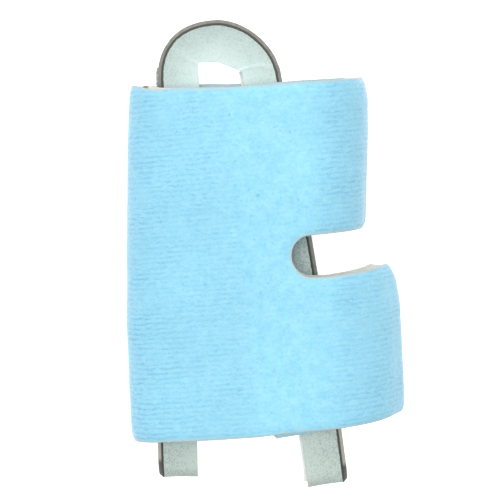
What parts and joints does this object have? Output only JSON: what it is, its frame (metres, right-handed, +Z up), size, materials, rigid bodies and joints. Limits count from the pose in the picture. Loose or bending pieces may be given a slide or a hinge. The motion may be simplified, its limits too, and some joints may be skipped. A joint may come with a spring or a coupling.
{
  "type": "finger splint",
  "caption": "Finger splint: a dished aluminium hairpin with a windowed fingertip crown, wrapped in light-blue loop-faced foam with side flaps.",
  "frame": {"origin": "on the surface it lies on, under the middle of its bounding box", "axes": "+Y along the finger towards the fingertip's crown, +X across it towards the two flaps, +Z up from the back of the wrap to its front"},
  "size_m": [0.0388, 0.0658, 0.0138],
  "materials": {
    "metal": "satin, finely speckled sheet with plain cut edges",
    "hook_tape": "off-white woven tape with stiff nylon hooks",
    "loop_foam": "light-blue brushed loop knit bonded to both faces of cream foam"
  },
  "bodies": {
    "root": {"metal_frame": "metal", "hook_strip_left": "hook_tape", "hook_strip_right": "hook_tape", "foam_wrap": "loop_foam"}
  },
  "joints": []
}
